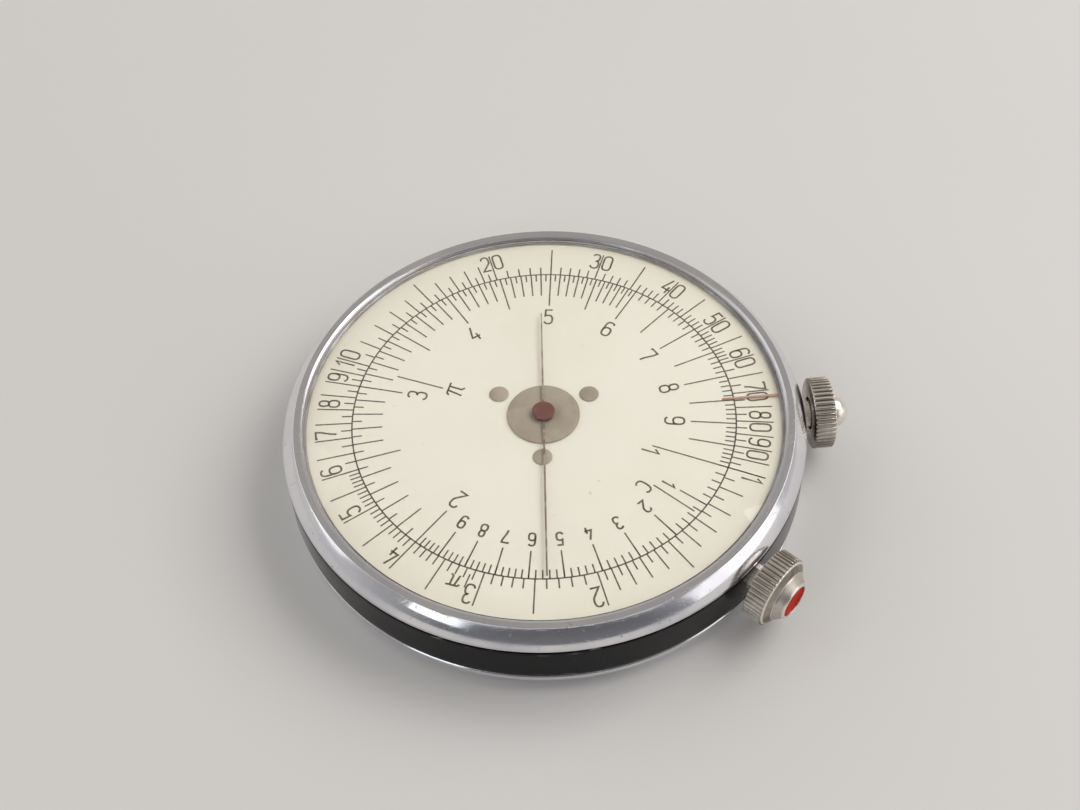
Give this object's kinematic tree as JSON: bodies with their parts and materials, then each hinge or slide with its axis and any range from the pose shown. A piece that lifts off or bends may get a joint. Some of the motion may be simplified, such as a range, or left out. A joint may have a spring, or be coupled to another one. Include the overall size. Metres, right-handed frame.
{
  "type": "circular slide rule",
  "caption": "Pocket circular slide rule in a round watch-like case, with a turning front dial, a hand over each face, a fixed index, and knurled knobs that drive the dial and the hands",
  "frame": {"origin": "centre of the rear crystal's flat outer face, which lies on the desk, on the dial axis", "axes": "+Z is the dial axis and points out of the front dial; +X points close to the fixed index and the dial knob; +Y is the far side of the case in the picture"},
  "size_m": [0.0567, 0.052, 0.01],
  "materials": {
    "chrome": "polished plate",
    "black_nickel": "glossy dark plate",
    "nickel": "satin nickel",
    "brass": "machined",
    "steel": "turned",
    "dial_paint": "ivory lacquer on thin sheet, satin",
    "hub_metal": "dull grey-beige metal",
    "red_paint": "gloss enamel",
    "black_paint": "gloss enamel",
    "hand_paint": "dark lacquer",
    "clear_plastic": "clear, polished"
  },
  "bodies": {
    "case": {"case_band": "black_nickel", "front_bezel": "chrome", "rear_bezel": "chrome", "front_crystal": "clear_plastic", "rear_crystal": "clear_plastic", "dial_index": "red_paint", "rear_dial": "dial_paint", "rear_dial_foot_1": "brass", "rear_dial_foot_2": "brass", "rear_dial_foot_3": "brass", "main_plate": "brass", "plate_screw_1": "steel", "plate_screw_2": "steel", "plate_screw_3": "steel", "centre_bush": "brass", "dial_knob_tube": "nickel", "hand_knob_tube": "nickel", "dial_friction_washer": "steel", "hand_friction_washer": "steel"},
    "dial": {"front_dial": "dial_paint", "dial_hub": "hub_metal", "dial_rivet_1": "hub_metal", "dial_rivet_2": "hub_metal", "dial_rivet_3": "hub_metal", "dial_wheel": "brass"},
    "hands": {"hand_arbor": "steel", "hand_wheel": "brass", "front_hand": "hand_paint", "rear_hand": "hand_paint", "front_hand_cap": "red_paint", "rear_hand_cap": "red_paint"},
    "dial_crown": {"dial_knob": "nickel", "dial_knob_dot": "black_paint", "dial_stem": "steel", "dial_pinion": "brass", "dial_stem_clip": "steel"},
    "hand_crown": {"hand_knob": "nickel", "hand_knob_dot": "red_paint", "hand_stem": "steel", "hand_pinion": "brass", "hand_stem_clip": "steel"}
  },
  "joints": [
    {"name": "dial_turn", "type": "hinge", "parent": "case", "child": "dial", "pos_m": [0, 0, 0.005], "axis": [0, 0, 1], "continuous": true},
    {"name": "hands_turn", "type": "hinge", "parent": "case", "child": "hands", "pos_m": [0, 0, 0.005], "axis": [0, 0, 1], "continuous": true},
    {"name": "dial_knob_turn", "type": "hinge", "parent": "case", "child": "dial_crown", "pos_m": [0, 0, 0.005], "axis": [0.9983, 0.0576, 0], "continuous": true},
    {"name": "hand_knob_turn", "type": "hinge", "parent": "case", "child": "hand_crown", "pos_m": [0, 0, 0.005], "axis": [0.7408, -0.6717, 0], "continuous": true}
  ],
  "couplings": [
    {"joint": "dial_knob_turn", "follows": "dial_turn", "ratio": -9.5},
    {"joint": "hand_knob_turn", "follows": "hands_turn", "ratio": 7}
  ]
}
